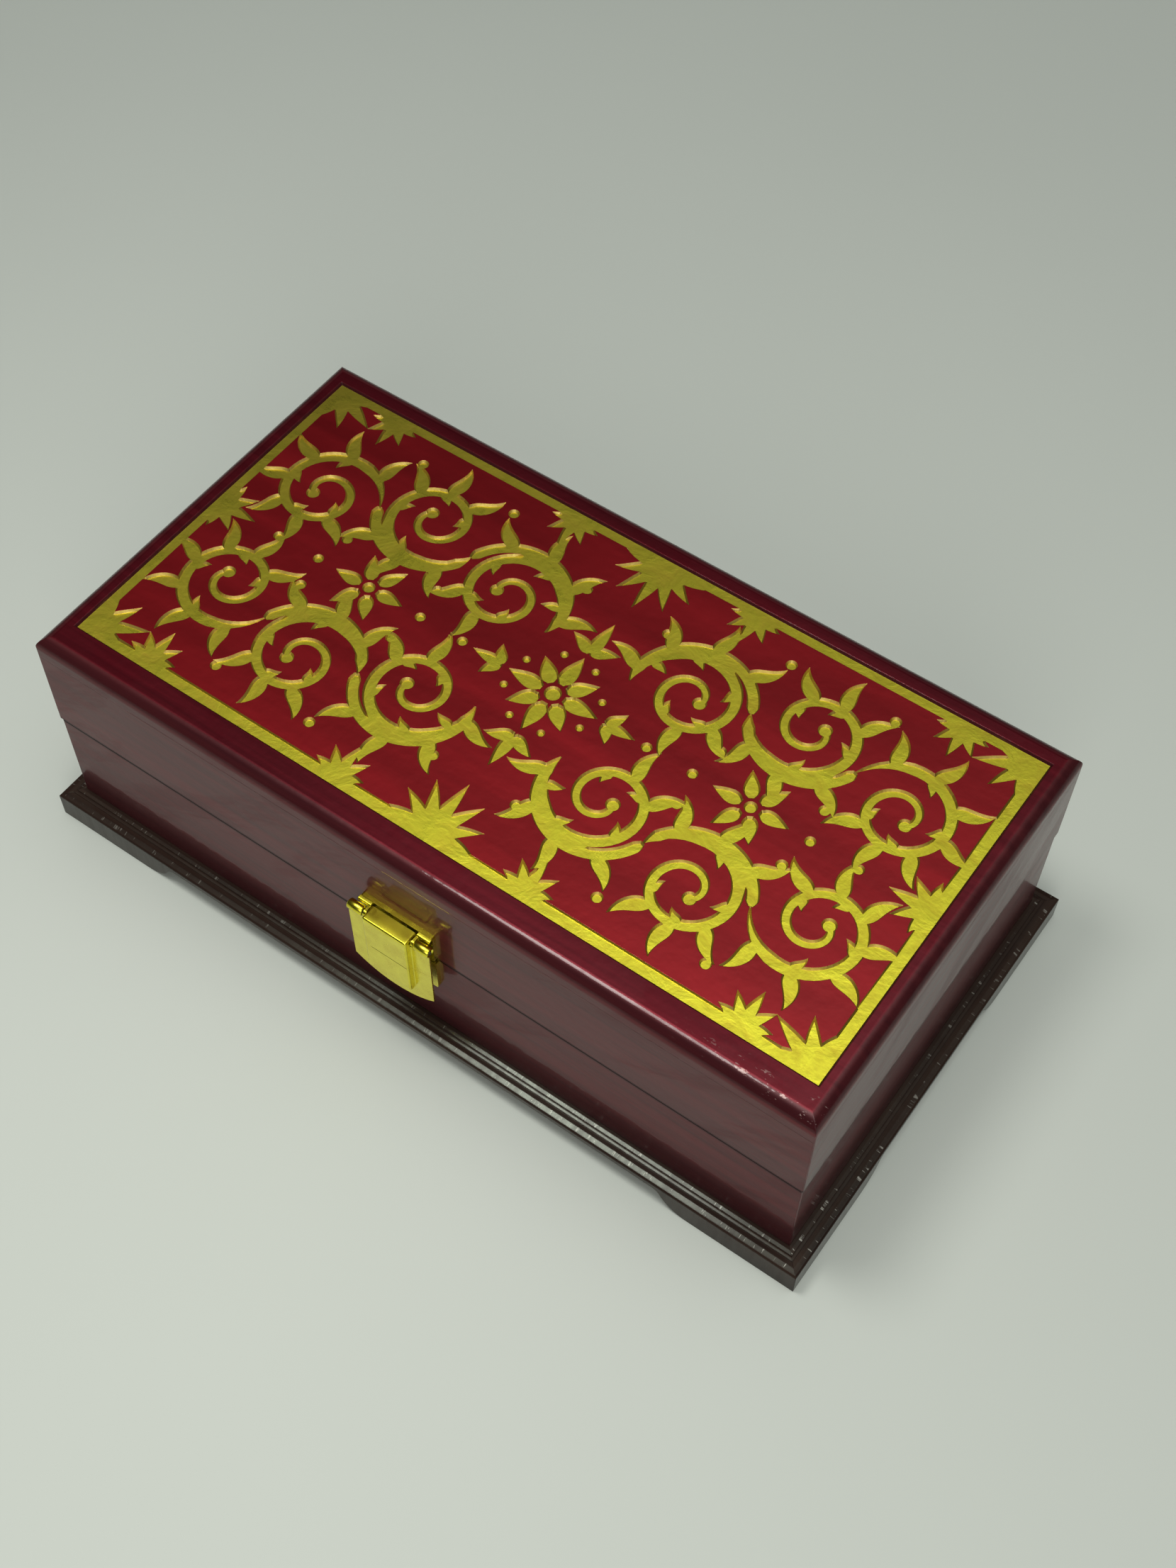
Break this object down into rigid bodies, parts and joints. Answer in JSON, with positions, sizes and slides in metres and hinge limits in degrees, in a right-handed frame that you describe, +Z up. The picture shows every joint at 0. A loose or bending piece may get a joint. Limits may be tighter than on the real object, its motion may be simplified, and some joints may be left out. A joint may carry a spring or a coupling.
{
  "type": "wooden box",
  "caption": "Shallow rectangular wooden box with a hinged lid, a gilt border round the lid's red field, a moulded plinth on bracket feet and a small brass latch.",
  "frame": {"origin": "on the ground, under the middle of the base", "axes": "+X along the length, the latch faces -Y, +Z up"},
  "size_m": [0.2718, 0.1503, 0.0845],
  "materials": {
    "lacquer": "high gloss lacquer",
    "field_lacquer": "gloss lacquer",
    "plinth_lacquer": "gloss lacquer",
    "bare_wood": "unfinished",
    "gilt": "rubbed gold paint",
    "velvet": "short pile",
    "hinge_brass": "polished",
    "latch_brass": "polished",
    "spring_brass": "satin",
    "screw_brass": "satin",
    "steel": "satin"
  },
  "bodies": {
    "base": {"base_bottom_panel": "bare_wood", "base_lining_back": "velvet", "base_lining_floor": "velvet", "base_lining_front": "velvet", "base_lining_left": "velvet", "base_lining_right": "velvet", "base_wall_back": "lacquer", "base_wall_front": "lacquer", "base_wall_left": "lacquer", "base_wall_right": "lacquer", "hinge_base_screws": "screw_brass", "hinge_left_base_leaf": "hinge_brass", "hinge_left_pin": "steel", "hinge_right_base_leaf": "hinge_brass", "hinge_right_pin": "steel", "latch_keeper_plate": "latch_brass", "latch_keeper_screws": "screw_brass", "plinth_back": "plinth_lacquer", "plinth_front": "plinth_lacquer", "plinth_left": "plinth_lacquer", "plinth_right": "plinth_lacquer"},
    "lid": {"hinge_left_lid_leaf": "hinge_brass", "hinge_lid_screws": "screw_brass", "hinge_right_lid_leaf": "hinge_brass", "latch_lid_plate": "latch_brass", "latch_lid_screws": "screw_brass", "latch_pin": "steel", "lid_field_panel": "field_lacquer", "lid_gilt_ground": "gilt", "lid_lining_back": "velvet", "lid_lining_front": "velvet", "lid_lining_left": "velvet", "lid_lining_right": "velvet", "lid_lining_top": "velvet", "lid_rail_back": "lacquer", "lid_rail_front": "lacquer", "lid_rail_left": "lacquer", "lid_rail_right": "lacquer", "lid_top_board": "lacquer"},
    "flap": {"latch_clip": "spring_brass", "latch_flap": "latch_brass"}
  },
  "joints": [
    {"name": "lid_hinge", "type": "hinge", "parent": "base", "child": "lid", "pos_m": [0, 0.0712, 0.0475], "axis": [-1, 0, 0], "range_deg": [0, 100]},
    {"name": "latch_hinge", "type": "hinge", "parent": "lid", "child": "flap", "pos_m": [-0.0008, -0.07285, 0.0586], "axis": [-1, 0, 0], "range_deg": [0, 130]}
  ]
}
